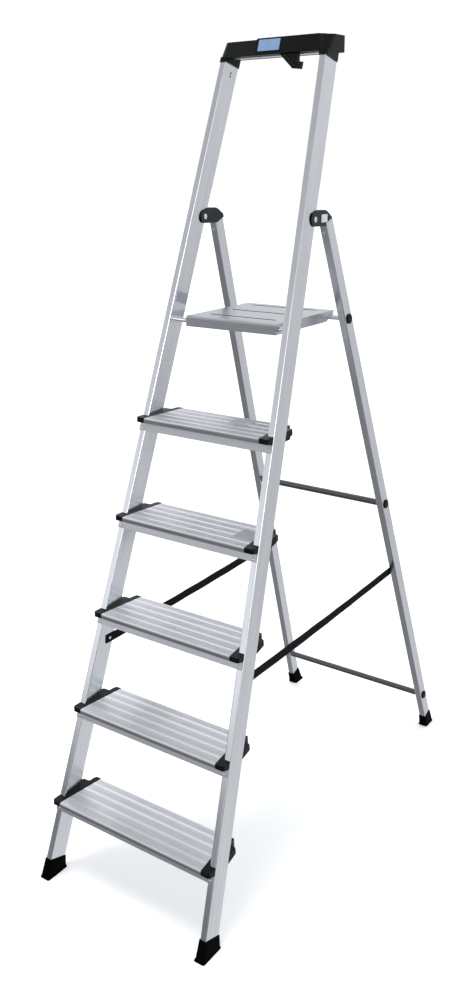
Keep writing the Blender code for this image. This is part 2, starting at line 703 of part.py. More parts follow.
def add_platform_side(name, side, lift_axis):
    """Side plate: it turns on the front rod, and its tail hooks over the rear rod from above."""
    rod = rear_rod_point()
    rod_y, rod_z = rod.y - PLATFORM_Y, rod.z - PLATFORM_Z
    top = -DECK_THICK - GAP
    head = FASCIA_WALL + GAP
    tail = rod_y + PLATFORM_TAIL
    saddle = REAR_ROD + ROD_CLEAR
    arc = [(rod_y + saddle * cos(a), rod_z + saddle * sin(a)) for a in (radians(20 * k) for k in range(10))]
    outline = [(head, -PLATFORM_THICK), (head, top - FASCIA_ROUND), (FASCIA_ROUND + head, top),
               (tail - SIDE_TAIL_BEVEL, top), (tail, top - SIDE_TAIL_BEVEL), (tail, rod_z - SIDE_TOE[1]),
               (tail - SIDE_TOE[0], rod_z - REAR_ROD), (rod_y + saddle, rod_z - REAR_ROD)]
    lead, rise = SADDLE_LEAD
    outline += arc + [(rod_y - saddle - lead, rise - PLATFORM_THICK),
                      (rod_y - saddle - SADDLE_HEEL, -PLATFORM_THICK)]
    outer = platform_half() - SIDE_INSET

    def ring(y_z, half):
        return [Vector((side * half, PLATFORM_Y + y, PLATFORM_Z + z)) for y, z in y_z]

    plate = add_piece(name, *loft([ring(outline, outer), ring(outline, outer - SIDE_WALL)]), aluminium,
                      axis=lift_axis)
    z, y = front_rod()
    bore = circle(y - PLATFORM_Y, z - PLATFORM_Z, FRONT_ROD + ROD_CLEAR)
    rings = [ring(bore, outer + SIDE_WALL), ring(bore, outer - 2 * SIDE_WALL)]
    cut(plate, add_piece(name + "_bore", *loft(rings), None))


def tray_front(z):
    """Place in Y of the tray's front face at a height."""
    return FRONT_Y + z * TAN_F - TRAY_SKIN / COS_F


def add_tray(name):
    """Moulded tray across the stiles' tops, with a collar over each stile."""
    base = PLATFORM_Z + BOW_RISE + TRAY_BASE
    top = base + TRAY_HEIGHT
    back = FRONT_Y + top * TAN_F + STILE_DEPTH / COS_F + TRAY_OVER
    half = stile_x(BOW_S) + COLLAR_SKIN

    def wing_front(z):
        return tray_front(z) + WING_LEAN * (z - base) / TRAY_HEIGHT

    def plan(z, rim, front_at=None):
        """Outline at a height, with rounded front corners."""
        corner = TRAY_CORNER - rim
        x, y = half - rim, wing_front(z if front_at is None else front_at) + rim
        angles = [k * pi / 10 for k in range(6)]
        arc = [(x - corner + corner * sin(a), y + corner - corner * cos(a)) for a in angles]
        outline = [(-x, back - rim)] + [(-u, v) for u, v in reversed(arc)] + arc + [(x, back - rim)]
        return [Vector((u, v, z)) for u, v in outline]

    tray = add_piece(name, *loft([plan(base, 0), plan(top, 0)]), black_plastic)
    low, high = base + PANEL_LIFT, top + PANEL_LIFT
    panel = [(tray_front(low) - PANEL_STEP, low), (tray_front(high) - PANEL_STEP, high),
             (wing_front(high) + TRAY_RIM, high), (wing_front(low) + TRAY_RIM, low)]
    merged = [(wing_front(z) + PANEL_SINK, z) for z in (low, high)] + panel[2:]
    rings = [[Vector((x, y, z)) for y, z in outline]
             for x, outline in ((PANEL[0], panel), (PANEL[1], panel), (PANEL[1] + PANEL_SLOPE, merged))]
    join(tray, add_piece(name + "_panel", *loft(rings), None))
    for label, side in SIDES:
        def ring(s_at):
            corners = rounded_box(-COLLAR_SKIN, STILE_WIDTH + COLLAR_SKIN,
                                  -TRAY_SKIN, STILE_DEPTH + COLLAR_SKIN, COLLAR_ROUND)
            return [front_point(side * (stile_x(s_at(t)) - u), s_at(t), t) for u, t in corners]

        collar = loft([ring(lambda t: BOW_S + COLLAR_SLOPE * t / STILE_DEPTH),
                       ring(lambda t: front_s(base + COLLAR_IN_TRAY, t))])
        join(tray, add_piece(f"{name}_collar_{label}", *collar, None))
    floor = top - TRAY_RECESS
    recess = [plan(floor, TRAY_RIM + TRAY_DRAFT, top), plan(top + TRAY_RIM, TRAY_RIM, top)]
    cut(tray, add_piece(name + "_recess", *loft(recess), None))
    for label, side in SIDES:
        corners = rounded_box(-GAP, STILE_WIDTH + GAP, -GAP, STILE_DEPTH + GAP, STILE_ROUND)
        rings = [[front_point(side * (stile_x(s) - u), s, t) for u, t in corners]
                 for s in (BOW_S - STILE_IN_TRAY, BOW_S + STILE_IN_TRAY + GAP)]
        cut(tray, add_piece(f"{name}_socket_{label}", *loft(rings), None))


def add_top_bar(name):
    """Aluminium bar under the tray, between the collars."""
    top = PLATFORM_Z + BOW_RISE + TRAY_BASE - GAP
    half = stile_x(front_s(top, TOP_BAR_BACK)) - STILE_WIDTH - COLLAR_SKIN - 2 * GAP
    front = FRONT_Y + top * TAN_F
    section = [(front + TOP_BAR_FRONT, top), (front + TOP_BAR_BACK, top),
               (front + TOP_BAR_BACK, top - TOP_BAR_THICK), (front + TOP_BAR_FRONT, top - TOP_BAR_THICK)]
    rings = [[Vector((x, y, z)) for y, z in section] for x in (-half, half)]
    add_piece(name, *loft(rings), aluminium)


def add_hook(name):
    """Bucket hook under the tray's front edge."""
    top = PLATFORM_Z + BOW_RISE + TRAY_BASE - GAP
    front = FRONT_Y + top * TAN_F + HOOK_FRONT
    rings = [[Vector((x, y, top + z)) for x, z in HOOK] for y in (front, front + HOOK_THICK)]
    add_piece(name, *loft(rings), black_plastic)


def add_label(name):
    """Plain plate on the tray's front panel."""
    low = PLATFORM_Z + BOW_RISE + TRAY_BASE + PANEL_LIFT + LABEL_RISE
    face = PANEL_STEP + GAP

    def ring(ahead):
        return [Vector((x, tray_front(z) - ahead, z))
                for x, z in ((LABEL[0], low), (LABEL[1], low), (LABEL[1], low + LABEL_HEIGHT),
                             (LABEL[0], low + LABEL_HEIGHT))]

    add_piece(name, *loft([ring(face), ring(face + LABEL_THICK)]), pale_plate)


def strap_ends():
    """Heights of the strap's middle on the stile and on the leg."""
    z = tread_z(STRAP_TREAD) - STRAP_DROP
    return z, z + STRAP_REAR_LIFT


def add_strap(name, side):
    """Webbing from the stile's inner face to the leg's inner face, taut when the ladder stands open."""
    z_front, z_rear = strap_ends()
    columns = [("stile", STRAP_FRONT), ("stile", STILE_DEPTH), ("leg", LEG_SET),
               ("leg", LEG_SET + LEG_DEPTH - STRAP_BACK)]

    def corner(member, back, z, out):
        if member == "stile":
            s = front_s(z, back)
            return front_point(side * (stile_x(s) - STILE_WIDTH - out), s, back)
        r = leg_r(z, back)
        return rear_point(side * (leg_x(r) - LEG_WIDTH - out), r, back)

    rings = []
    for member, back in columns:
        z = z_front if member == "stile" else z_rear
        rings.append([corner(member, back, z + dz, out) for dz, out in (
            (-STRAP_WIDTH / 2, GAP), (STRAP_WIDTH / 2, GAP), (STRAP_WIDTH / 2, GAP + STRAP_THICK),
            (-STRAP_WIDTH / 2, GAP + STRAP_THICK))])
    add_piece(name, *loft(rings), webbing)


def add_rivet(name, centre, outward, axis, radius=RIVET):
    """Domed rivet head standing on a face."""
    turn = outward.to_track_quat("Z", "Y")
    steps = ((0, radius), (RIVET_THICK * 0.5, radius * 0.92), (RIVET_THICK * 0.85, radius * 0.66),
             (RIVET_THICK, radius * 0.3))
    rings = [[centre + turn @ Vector((a, b, up)) for a, b in circle(0, 0, r, 16)] for up, r in steps]
    add_piece(name, *loft(rings), bright_steel, axis=axis, round_edges=True)


def add_strap_rivets(label, side, fold_axis):
    z_front, z_rear = strap_ends()
    lift = STRAP_THICK + 2 * GAP
    back = STRAP_FRONT + STRAP_WIDTH / 2
    s = front_s(z_front, back)
    tilt = Vector((-side, 0, 0)) - STILE_TAPER * (front_point(0, 1, 0) - front_point(0, 0, 0))
    centre = front_point(side * (stile_x(s) - STILE_WIDTH - lift), s, back)
    add_rivet(f"strap_rivet_front_{label}", centre, tilt.normalized(), None)
    back = LEG_MID
    r = leg_r(z_rear, back)
    tilt = Vector((-side, 0, 0)) + STILE_TAPER * (rear_point(0, 1, 0) - rear_point(0, 0, 0))
    centre = rear_point(side * (leg_x(r) - LEG_WIDTH - lift), r, back)
    add_rivet(f"strap_rivet_rear_{label}", centre, tilt.normalized(), fold_axis)


def add_leg_rivet(name, side, fold_axis):
    centre = rear_point(side * (leg_x(LEG_RIVET) - LEG_WIDTH / 2), LEG_RIVET, LEG_SET - GAP)
    outward = rear_point(0, 0, -1) - rear_point(0, 0, 0)
    add_rivet(name, centre, outward, fold_axis, radius=LEG_RIVET_HEAD)


def build():
    clear_scene()
    z, y = front_rod()
    mid = bar_r(MID_BAR_TREAD, MID_BAR_DROP)
    low = bar_r(LOW_BAR_TREAD, LOW_BAR_DROP)
    fold_axis = add_axis("fold_axis", (0, PIVOT_Y, PIVOT_Z))
    lift_axis = add_axis("lift_axis", (0, y, z))
    for label, side in SIDES:
        add_stile(f"stile_{label}", side)
        add_front_foot(f"front_foot_{label}", side)
        for number in range(TREADS):
            add_tread_cap(f"tread_cap_{label}_{number + 1}", number, side)
        add_pin(f"hinge_pin_{label}", side)
        add_strap(f"strap_{label}", side)
        add_strap_rivets(label, side, fold_axis)
        add_leg(f"rear_leg_{label}", side, fold_axis)
        add_rear_foot(f"rear_foot_{label}", side, fold_axis)
        add_hinge_cap(f"hinge_cap_{label}", side, fold_axis)
        add_leg_rivet(f"leg_rivet_{label}", side, fold_axis)
        add_platform_side(f"platform_side_{label}", side, lift_axis)
        for place, r in (("rod", rear_rod_r()), ("mid", mid), ("low", low)):
            add_plug(f"plug_{place}_{label}", side, r, fold_axis)
    for number in range(TREADS):
        add_tread(number)
    add_tray("top_tray")
    add_top_bar("top_bar")
    add_hook("bucket_hook")
    add_label("tray_label")
    add_front_rod("platform_rod_front")
    add_deck("platform_deck", lift_axis)
    add_fascia("platform_fascia", lift_axis)
    add_crossbar("crossbar_mid", mid, fold_axis)
    add_crossbar("crossbar_low", low, fold_axis)
    add_crosspiece("platform_rod_rear", circle(rear_rod_r(), LEG_MID, REAR_ROD), inner_leg_x, rear_point,
                   bright_steel, fold_axis)


build()
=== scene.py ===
"""Looks of the folding aluminium step ladder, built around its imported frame.

Metres, +Z up, -Y the climbing side.
"""

import json
from math import cos, pi, radians, sin, tan

import bmesh
import bpy
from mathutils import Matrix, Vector
from mathutils.bvhtree import BVHTree


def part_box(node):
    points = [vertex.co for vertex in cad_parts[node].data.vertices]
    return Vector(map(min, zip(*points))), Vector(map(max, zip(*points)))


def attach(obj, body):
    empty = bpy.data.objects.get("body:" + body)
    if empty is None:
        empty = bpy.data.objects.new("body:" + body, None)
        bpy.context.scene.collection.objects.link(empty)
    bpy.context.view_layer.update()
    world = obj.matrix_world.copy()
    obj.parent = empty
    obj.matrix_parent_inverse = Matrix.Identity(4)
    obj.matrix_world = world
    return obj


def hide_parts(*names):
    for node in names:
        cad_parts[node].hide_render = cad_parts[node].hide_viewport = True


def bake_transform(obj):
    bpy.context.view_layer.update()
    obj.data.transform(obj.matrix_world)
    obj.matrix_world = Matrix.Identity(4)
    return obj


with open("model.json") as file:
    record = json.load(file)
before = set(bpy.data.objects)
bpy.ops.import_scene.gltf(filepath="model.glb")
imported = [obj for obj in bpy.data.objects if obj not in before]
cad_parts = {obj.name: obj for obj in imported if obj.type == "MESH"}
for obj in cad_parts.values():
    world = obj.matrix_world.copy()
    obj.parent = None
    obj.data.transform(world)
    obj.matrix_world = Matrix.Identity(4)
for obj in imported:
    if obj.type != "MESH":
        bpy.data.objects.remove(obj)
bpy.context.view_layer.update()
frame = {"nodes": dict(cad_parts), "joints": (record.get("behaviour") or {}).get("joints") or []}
nodes = frame["nodes"]
SIDES = (("left", -1), ("right", 1))

# ---- The ladder's own lines, as the CAD has them. s runs up the stiles and r down the rear legs.

FRONT_ANGLE = radians(19.0)
REAR_ANGLE = radians(19.3)
SIN_F, COS_F, TAN_F = sin(FRONT_ANGLE), cos(FRONT_ANGLE), tan(FRONT_ANGLE)
SIN_R, COS_R = sin(REAR_ANGLE), cos(REAR_ANGLE)
PIVOT = Vector(next(j["pos_m"] for j in frame["joints"] if j["name"] == "fold"))
PIVOT_BACK = 0.046
FRONT_Y = PIVOT.y - PIVOT.z * TAN_F - PIVOT_BACK / COS_F
HALF_BASE = 0.2593
STILE_TAPER = 0.0546
STILE_WIDTH = 0.017
STILE_DEPTH = 0.054
LEG_WIDTH = 0.0198
LEG_DEPTH = 0.0327
LEG_SET = 0.0429
TREADS = 5


def stile_x(s):
    return HALF_BASE - STILE_TAPER * s


def leg_x(r):
    s = (PIVOT.z + PIVOT_BACK * SIN_F) / COS_F
    return stile_x(s) - STILE_WIDTH / 2 + 0.001 + STILE_TAPER * r + LEG_WIDTH / 2


def front_point(x, s, t):
    """s up the stiles from the floor, t behind their front faces."""
    return Vector((x, FRONT_Y + s * SIN_F + t * COS_F, s * COS_F - t * SIN_F))


def rear_point(x, r, q):
    """r down the rear legs from the hinge axis, q behind it."""
    return Vector((x, PIVOT.y + r * SIN_R + q * COS_R, PIVOT.z - r * COS_R + q * SIN_R))


# ---- Camera, light and floor

CAMERA_AT = (1.3465, -2.0289, 1.7471)
CAMERA_TURN = (1.2358, 0.0095, 0.6107)  # Euler angles, radians
CAMERA_LENS = 35.181  # mm, on a 36 mm sensor


def add_camera():
    data = bpy.data.cameras.new("camera")
    data.sensor_fit = "AUTO"
    data.sensor_width = 36
    data.lens = CAMERA_LENS
    data.clip_start, data.clip_end = 0.05, 60
    camera = bpy.data.objects.new("camera", data)
    camera.location = CAMERA_AT
    camera.rotation_euler = CAMERA_TURN
    bpy.context.scene.collection.objects.link(camera)
    bpy.context.scene.camera = camera


SUN_TOWARDS = (0.10, 0.10, -1.0)
SUN_LIGHT = 1.30
SUN_ANGLE = radians(22)  # broad, for a soft edge


def add_sun():
    """A broad overhead light, for the soft shadow on the floor."""
    data = bpy.data.lights.new("overhead", "SUN")
    data.energy = SUN_LIGHT
    data.angle = SUN_ANGLE
    lamp = bpy.data.objects.new("overhead", data)
    lamp.rotation_euler = Vector(SUN_TOWARDS).to_track_quat("-Z", "Y").to_euler()
    lamp.visible_glossy = False
    bpy.context.scene.collection.objects.link(lamp)


# What the metal mirrors. In front is a dark floor, a bright band above the horizon and a dimmer wall over it.
# Each pair: height of the direction (its z), brightness.
FRONT_ROOM = ((-1.0, 0.22), (-0.30, 0.20), (-0.11, 0.13), (-0.068, 0.20), (-0.024, 0.95), (0.05, 1.06),
              (0.15, 1.02), (0.25, 0.80), (0.38, 0.57), (0.60, 0.50), (1.0, 0.60))
REAR_ROOM = ((-1.0, 0.58), (-0.68, 0.74), (-0.5, 0.70), (-0.3, 0.60), (-0.1, 0.64), (0.05, 0.70), (0.2, 0.80),
             (0.35, 0.90), (0.65, 1.02), (1.0, 0.74))
FRONT_EDGE = (0.05, -0.30)  # y of the direction, from rear room to front room
LAMP_AT = (0.75, -0.62, 0.11)  # a bright window beside the camera
LAMP_LIGHT = 4.2
LAMP_TIGHT = 40.0
LAMP_FOOT = (-0.05, 0.04)  # heights over which its lower edge fades in
ROOM_TINT = (0.965, 0.985, 1.02)
BACKDROP_LIGHT = 1.02


def add_room():
    """A pale backdrop for the camera, and a soft studio for light and reflections."""
    world = bpy.data.worlds.new("studio")
    bpy.context.scene.world = world
    world.use_nodes = True
    tree = world.node_tree
    tree.nodes.clear()

    def node(kind, links=(), values=(), **settings):
        made = tree.nodes.new(kind)
        for key, value in settings.items():
            setattr(made, key, value)
        for socket, source in dict(links).items():
            tree.links.new(source, made.inputs[socket])
        for socket, value in dict(values).items():
            made.inputs[socket].default_value = value
        return made

    place = node("ShaderNodeTexCoord").outputs["Generated"]
    split = node("ShaderNodeSeparateXYZ", {0: place})
    height = node("ShaderNodeMapRange", {"Value": split.outputs["Z"]},
                  {"From Min": -1, "From Max": 1})

    def ramp(stops):
        made = node("ShaderNodeValToRGB", {0: height.outputs[0]})
        made.color_ramp.interpolation = "LINEAR"
        elements = made.color_ramp.elements
        for z, _ in stops[1:-1]:
            elements.new((z + 1) / 2)
        for element, (z, light) in zip(elements, stops):
            element.position = (z + 1) / 2
            element.color = (light, light, light, 1)
        return made.outputs["Color"]

    share = node("ShaderNodeMapRange", {"Value": split.outputs["Y"]},
                 {"From Min": FRONT_EDGE[0], "From Max": FRONT_EDGE[1]},
                 interpolation_type="SMOOTHSTEP")
    walls = node("ShaderNodeMix", {0: share.outputs[0], 6: ramp(REAR_ROOM), 7: ramp(FRONT_ROOM)},
                 data_type="RGBA")
    near = node("ShaderNodeVectorMath", {0: place}, {1: Vector(LAMP_AT).normalized()},
                operation="DOT_PRODUCT")
    ahead = node("ShaderNodeMath", {0: near.outputs["Value"]}, {1: 0.0}, operation="MAXIMUM")
    spot = node("ShaderNodeMath", {0: ahead.outputs[0]}, {1: LAMP_TIGHT}, operation="POWER")
    over = node("ShaderNodeMapRange", {"Value": split.outputs["Z"]},
                {"From Min": LAMP_FOOT[0], "From Max": LAMP_FOOT[1], "To Max": LAMP_LIGHT})
    lamp = node("ShaderNodeMath", {0: spot.outputs[0], 1: over.outputs[0]}, operation="MULTIPLY")
    total = node("ShaderNodeVectorMath", {0: walls.outputs[2], 1: lamp.outputs[0]}, operation="ADD")
    cool = node("ShaderNodeVectorMath", {0: total.outputs[0]}, {1: ROOM_TINT}, operation="MULTIPLY")
    room = node("ShaderNodeBackground", {"Color": cool.outputs[0]})
    backdrop = node("ShaderNodeBackground", values={"Color": (1, 1, 1, 1), "Strength": BACKDROP_LIGHT})
    ray = node("ShaderNodeLightPath")
    mix = node("ShaderNodeMixShader",
               {0: ray.outputs["Is Camera Ray"], 1: room.outputs[0], 2: backdrop.outputs[0]})
    node("ShaderNodeOutputWorld", {"Surface": mix.outputs[0]})


# ---- Materials

class Finish:
    """A node material with a Principled shader, and short ways to add nodes to it."""

    def __init__(self, name, colour, metallic, roughness):
        self.material = bpy.data.materials.new(name)
        self.material.use_nodes = True
        self.tree = self.material.node_tree
        self.shader = self.tree.nodes["Principled BSDF"]
        self.set(self.shader, "Base Color", (*colour, 1))
        self.set(self.shader, "Metallic", metallic)
        self.set(self.shader, "Roughness", roughness)

    def set(self, node, socket, value):
        node.inputs[socket].default_value = value

    def add(self, kind, links=(), values=(), **settings):
        node = self.tree.nodes.new(kind)
        for key, value in settings.items():
            setattr(node, key, value)
        for socket, source in dict(links).items():
            self.tree.links.new(source, node.inputs[socket])
        for socket, value in dict(values).items():
            node.inputs[socket].default_value = value
        return node

    def place(self, scale, turn=0.0):
        """Object coordinates turned about X by turn, then scaled along each axis."""
        coords = self.add("ShaderNodeTexCoord")
        mapping = self.add("ShaderNodeMapping", {"Vector": coords.outputs["Object"]}, vector_type="TEXTURE")
        self.set(mapping, "Rotation", (turn, 0, 0))
        self.set(mapping, "Scale", [1 / k for k in scale])
        return mapping.outputs["Vector"]

    def noise(self, vector, scale, detail=2.0, rough=0.5):
        node = self.add("ShaderNodeTexNoise", {"Vector": vector},
                        {"Scale": scale, "Detail": detail, "Roughness": rough})
        return node.outputs["Fac"]

    def fit(self, value, low, high, source_low=0.3, source_high=0.7):
        """Maps a 0-1 value to low-high."""
        node = self.add("ShaderNodeMapRange", {"Value": value},
                        {"From Min": source_low, "From Max": source_high, "To Min": low, "To Max": high})
        return node.outputs["Result"]

    def math(self, operation, a, b):
        node = self.add("ShaderNodeMath", operation=operation)
        for k, value in enumerate((a, b)):
            if isinstance(value, (int, float)):
                node.inputs[k].default_value = value
            else:
                self.tree.links.new(value, node.inputs[k])
        return node.outputs[0]

    def tint(self, factor, dark, light):
        """Base colour from dark to light by factor."""
        node = self.add("ShaderNodeMix", {"Factor": factor}, data_type="RGBA")
        node.inputs[6].default_value = (*dark, 1)
        node.inputs[7].default_value = (*light, 1)
        self.tree.links.new(node.outputs[2], self.shader.inputs["Base Color"])
        return node

    def bump(self, height, depth, strength=1.0):
        node = self.add("ShaderNodeBump", {"Height": height}, {"Distance": depth, "Strength": strength})
        self.tree.links.new(node.outputs["Normal"], self.shader.inputs["Normal"])

    def rough(self, value):
        self.tree.links.new(value, self.shader.inputs["Roughness"])


def shade(colour, factor):
    return tuple(k * factor for k in colour)


def make_aluminium(name, colour, roughness, along, turn=0.0, streak=0.05, cloud=0.04, upright_shade=1.0,
                   within=0.0):
    """Satin extruded aluminium, with fine draw lines along one axis ("x" or "z", turned about X).

    Upright faces get painted shade: their base colour is darkened to the given share. With within, only those
    nearer than that to the ladder's middle plane have it.
    """
    made = Finish(name, colour, 1.0, roughness)
    fine = (2.5, 620, 620) if along == "x" else (620, 620, 2.5)
    lines = made.noise(made.place(fine, turn), 1.0, 3.0, 0.6)
    broad = (1.2, 90, 90) if along == "x" else (90, 90, 1.2)
    bands = made.noise(made.place(broad, turn), 1.0, 2.0)
    clouds = made.noise(made.place((1, 1, 1)), 7.0, 3.0)
    tone = made.math("ADD", made.fit(lines, 0, streak), made.fit(bands, 0, streak))
    tone = made.math("ADD", tone, made.fit(clouds, 0, cloud))
    span = 2 * streak + cloud
    tinted = made.tint(made.math("DIVIDE", tone, span), shade(colour, 1 - span * 0.75),
                       shade(colour, 1 + span * 0.45))
    # Painted shade: faces that are not level get a darker base colour, standing in for shade on the tread
    # fronts and in the deck's slots.
    if upright_shade < 1:
        normal = made.add("ShaderNodeSeparateXYZ", {0: made.add("ShaderNodeTexCoord").outputs["Normal"]})
        level = made.math("ABSOLUTE", normal.outputs["Z"], 0.0)
        shade_share = made.fit(level, upright_shade, 1.0, 0.45, 0.9)
        if within:
            coords = made.add("ShaderNodeSeparateXYZ", {0: made.add("ShaderNodeTexCoord").outputs["Object"]})
            outer = made.math("GREATER_THAN", made.math("ABSOLUTE", coords.outputs["X"], 0.0), within)
            shade_share = made.math("MAXIMUM", shade_share, outer)
        shaded_colour = made.add("ShaderNodeVectorMath", {0: tinted.outputs[2], "Scale": shade_share}, operation="SCALE")
        made.tree.links.new(shaded_colour.outputs[0], made.shader.inputs["Base Color"])
    grain = made.math("ADD", made.fit(lines, -0.035, 0.035), made.fit(clouds, -0.03, 0.03))
    made.rough(made.math("ADD", grain, roughness))
    made.bump(lines, 0.00006, 0.35)
    return made.material


def make_steel(name, colour, roughness):
    made = Finish(name, colour, 1.0, roughness)
    spots = made.noise(made.place((1, 1, 1)), 240.0, 3.0)
    made.tint(made.fit(spots, 0, 1), shade(colour, 0.88), shade(colour, 1.05))
    made.rough(made.math("ADD", made.fit(spots, -0.05, 0.07), roughness))
    made.bump(spots, 0.00005, 0.3)
    return made.material


def make_plastic(name, colour, roughness, grain=1500.0, gloss=0.5):
    """Moulded black plastic with a fine spark-eroded grain and faint flow marks."""
    made = Finish(name, colour, 0.0, roughness)
    pits = made.noise(made.place((1, 1, 1)), grain, 2.0)
    flow = made.noise(made.place((1, 1, 1)), 28.0, 3.0)
    made.tint(made.fit(flow, 0, 1), shade(colour, 0.75), shade(colour, 1.5))
    shine = made.fit(pits, roughness - 0.05, roughness + 0.05)
    made.rough(made.math("ADD", made.fit(flow, -0.07, 0.06), shine))
    made.bump(pits, 0.00012, 0.45)
    made.set(made.shader, "Specular IOR Level", gloss)
    return made.material


def make_webbing(name):
    made = Finish(name, (0.008, 0.008, 0.009), 0.0, 0.82)
    weave = made.place((1, 620, 620))
    wave = made.add("ShaderNodeTexWave", {"Vector": weave},
                    {"Scale": 0.9, "Distortion": 0.6, "Detail": 1.0},
                    wave_type="BANDS", bands_direction="DIAGONAL")
    cross = made.add("ShaderNodeTexWave", {"Vector": weave},
                     {"Scale": 0.6, "Distortion": 0.4, "Detail": 1.0},
                     wave_type="BANDS", bands_direction="Y")
    threads = made.math("MULTIPLY", wave.outputs["Fac"], cross.outputs["Fac"])
    fluff = made.noise(made.place((1, 1, 1)), 900.0, 3.0)
    height = made.math("ADD", threads, made.fit(fluff, 0, 0.4))
    made.tint(made.fit(height, 0, 1, 0.0, 1.2), (0.002, 0.002, 0.0023), (0.014, 0.014, 0.0155))
    made.bump(height, 0.0004, 0.8)
    made.rough(made.fit(fluff, 0.74, 0.92))
    made.set(made.shader, "Specular IOR Level", 0.12)
    return made.material


def make_plain(name, colour, roughness, vary):
    """A painted or printed plate with faint mottling."""
    made = Finish(name, colour, 0.0, roughness)
    mottle = made.noise(made.place((1, 1, 1)), 60.0, 3.0)
    made.tint(made.fit(mottle, 0, 1), shade(colour, 1 - vary), shade(colour, 1 + vary))
    made.rough(made.math("ADD", made.fit(mottle, -0.04, 0.04), roughness))
    made.bump(made.noise(made.place((1, 1, 1)), 900.0, 2.0), 0.00004, 0.3)
    return made.material


ALUMINIUM = (0.80, 0.815, 0.84)
DECK_RIM = 0.010  # the deck's ends, outside its slots, which get none of its painted shade
TUBE_FRONT = make_aluminium("aluminium_stile", ALUMINIUM, 0.21, "z", turn=-FRONT_ANGLE)
TUBE_REAR = make_aluminium("aluminium_leg", ALUMINIUM, 0.24, "z", turn=REAR_ANGLE)
# Painted shade: the crossbars' aluminium gets a far darker base colour than the stiles', standing in for the
# shade on them.
CROSS_TUBE = make_aluminium("aluminium_bar", (0.15, 0.157, 0.166), 0.34, "x")
TOP_STRIP = make_aluminium("aluminium_strip", ALUMINIUM, 0.30, "x")
# Painted light and shade: the treads get a lighter base colour than the stiles' aluminium for the light on
# their tops, and their upright fronts are darkened to 0.62 as painted shade.
TREAD = make_aluminium("aluminium_tread", (0.92, 0.935, 0.96), 0.34, "x", streak=0.05, cloud=0.05,
                       upright_shade=0.62)
# Painted shade: the deck and fascia get darker base colours than the stiles' aluminium, and the deck's
# upright slot walls are darkened almost to black for the shade in its slots.
DECK = make_aluminium("aluminium_deck", (0.66, 0.68, 0.70), 0.34, "x", streak=0.06, upright_shade=0.04,
                      within=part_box("platform_deck")[1].x - DECK_RIM)
FASCIA = make_aluminium("aluminium_fascia", (0.62, 0.64, 0.66), 0.34, "x", streak=0.06)
STEEL = make_steel("bright_steel", (0.86, 0.87, 0.88), 0.16)
BLACK = make_plastic("black_plastic", (0.0025, 0.003, 0.003), 0.38, gloss=0.17)
CAP_BLACK = make_plastic("black_cap", (0.006, 0.007, 0.008), 0.36, gloss=0.34)
TREAD_CAP = make_plastic("black_tread_cap", (0.0025, 0.0028, 0.003), 0.34, gloss=0.15)
RUBBER = make_plastic("black_foot", (0.0012, 0.0013, 0.0013), 0.5, 900.0, gloss=0.012)
WEBBING = make_webbing("webbing")
PLATE = make_plain("label_plate", (0.20, 0.31, 0.49), 0.35, 0.05)
PALE = make_plain("pale_sticker", (0.52, 0.54, 0.56), 0.45, 0.05)
GREY = make_plain("grey_sticker", (0.30, 0.31, 0.33), 0.45, 0.08)
FADED = make_plain("faded_sticker", (0.30, 0.32, 0.35), 0.5, 0.10)

FINISHES = (
    ("stile_", TUBE_FRONT), ("rear_leg_", TUBE_REAR), ("crossbar_", CROSS_TUBE), ("top_bar", TOP_STRIP),
    ("tread_cap_", TREAD_CAP), ("tread_", TREAD), ("platform_rod", STEEL), ("platform_deck", DECK),
    ("platform_", FASCIA), ("hinge_cap_", CAP_BLACK), ("hinge_pin_", STEEL), ("plug_", BLACK),
    ("leg_rivet_", STEEL), ("strap_rivet_", STEEL), ("top_tray", BLACK), ("bucket_hook", BLACK),
    ("tray_label", PLATE), ("front_foot", RUBBER), ("rear_foot", RUBBER), ("strap_", WEBBING),
)  # the first start that matches a name counts


def finish_of(name):
    return next(material for start, material in FINISHES if name.startswith(start))


# Widths of the rounding on moulded and cut edges
SOFT_EDGES = {"stile_": 0.0006, "rear_leg_": 0.0005, "tread_cap_": 0.0007, "tread_": 0.0004,
              "hinge_cap_": 0.0007, "top_tray": 0.0009, "bucket_hook": 0.0006, "front_foot": 0.0012,
              "rear_foot": 0.0012, "platform_": 0.0004, "tray_label": 0.0003, "top_bar": 0.0003}
WELD_WITHIN = 0.00001
SHARP_FROM = radians(32)


def dress_cad():
    """Gives each CAD piece its material, and rounds its edges."""
    for name, obj in nodes.items():
        material = finish_of(name)
        obj.data.materials.clear()
        obj.data.materials.append(material)
        width = next((w for start, w in SOFT_EDGES.items() if name.startswith(start)), 0)
        if name.startswith("platform_rod") or not width:
            continue
        weld = obj.modifiers.new("weld", "WELD")
        weld.merge_threshold = WELD_WITHIN
        bevel = obj.modifiers.new("edges", "BEVEL")
        bevel.width = width
        bevel.segments = 2
        bevel.limit_method = "ANGLE"
        bevel.angle_limit = SHARP_FROM
        bevel.use_clamp_overlap = True
        bevel.harden_normals = True


# ---- New pieces

def add_mesh(name, points, faces, material, smooth=True):
    """A new object, facing out, with smooth shading but for its sharp edges."""
    mesh = bpy.data.meshes.new(name)
    mesh.from_pydata([Vector(p) for p in points], [], faces)
    shell = bmesh.new()
    shell.from_mesh(mesh)
    bmesh.ops.recalc_face_normals(shell, faces=shell.faces)
    shell.to_mesh(mesh)
    shell.free()
    if smooth:
        mesh.shade_smooth()
        mesh.set_sharp_from_angle(angle=radians(40))
    mesh.materials.append(material)
    obj = bpy.data.objects.new(name, mesh)
    bpy.context.scene.collection.objects.link(obj)
    return obj


